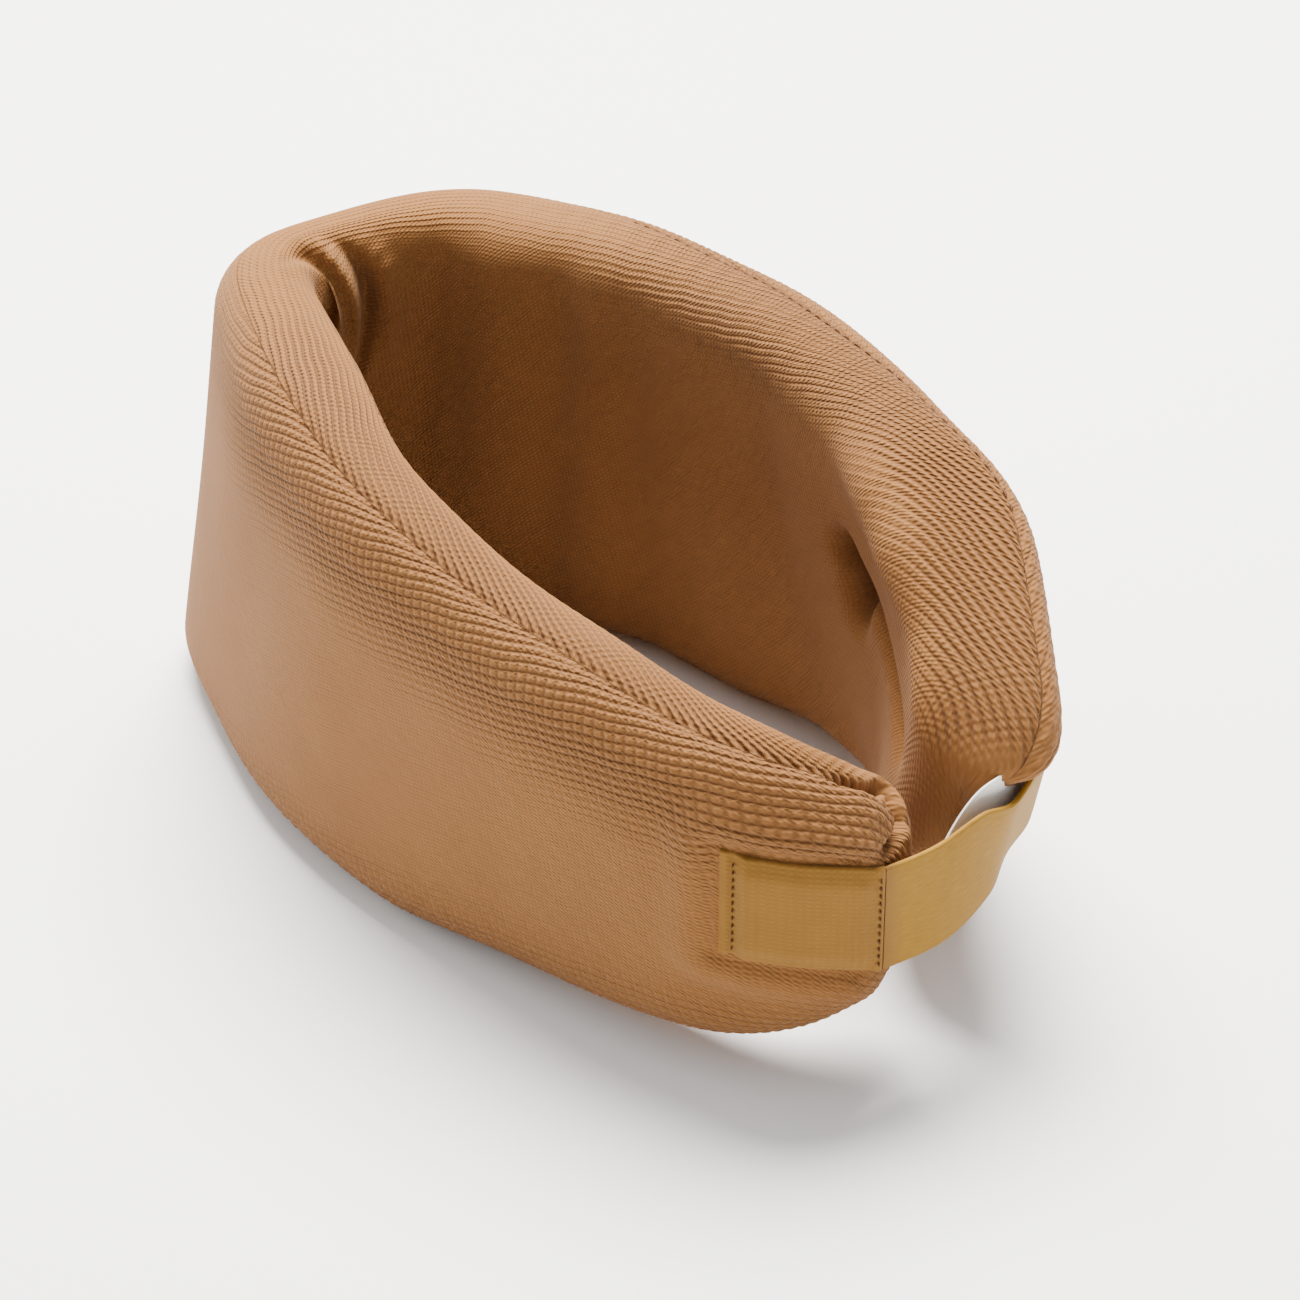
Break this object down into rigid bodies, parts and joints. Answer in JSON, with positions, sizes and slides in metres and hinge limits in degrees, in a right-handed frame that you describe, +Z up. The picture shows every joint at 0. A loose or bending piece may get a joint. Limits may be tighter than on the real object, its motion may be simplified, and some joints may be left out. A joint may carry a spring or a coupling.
{
  "type": "cervical collar",
  "caption": "Soft foam cervical collar in a ribbed knit cover, closed behind the neck by a strap with hook and loop tape.",
  "frame": {"origin": "centre of the bounding box's bottom, in the plane that the collar stands on", "axes": "+Y from the chin to the closure behind the neck, +Z up, +X towards the wearer's left limb, which carries the strap's sewn end"},
  "size_m": [0.1253, 0.2132, 0.1048],
  "materials": {
    "knit": "ribbed beige cotton-blend tubular knit",
    "foam": "open-cell polyurethane foam",
    "strap": "brushed golden tape",
    "hook": "nylon hook tape",
    "thread": "brown sewing thread",
    "strap_thread": "golden sewing thread",
    "label": "white woven satin, blank"
  },
  "bodies": {
    "left_limb": {"left_foam_core": "foam", "left_outer_panel": "knit", "left_inner_panel": "knit", "left_top_seam_thread": "thread", "left_bottom_seam_thread": "thread", "left_end_hem": "knit", "strap_base": "knit", "strap_root_thread": "thread", "strap_base_thread": "thread"},
    "right_limb": {"right_foam_core": "foam", "right_outer_panel": "knit", "right_inner_panel": "knit", "right_top_seam_thread": "thread", "right_bottom_seam_thread": "thread", "right_end_hem": "knit", "loop_tape": "strap", "loop_tape_upper_thread": "strap_thread", "loop_tape_lower_thread": "strap_thread", "care_label": "label"},
    "strap": {"closure_strap": "strap", "hook_tape": "hook", "hook_tape_thread": "strap_thread"}
  },
  "joints": [
    {"name": "ring_open", "type": "hinge", "parent": "left_limb", "child": "right_limb", "pos_m": [0.0104, -0.1077, 0], "axis": [0, 0, 1], "range_deg": [0, 28]},
    {"name": "strap_peel", "type": "hinge", "parent": "left_limb", "child": "strap", "pos_m": [0.0328, 0.1019, 0], "axis": [0, 0, -1], "range_deg": [0, 168]}
  ],
  "couplings": [
    {"joint": "strap_peel", "follows": "ring_open", "ratio": 6}
  ]
}
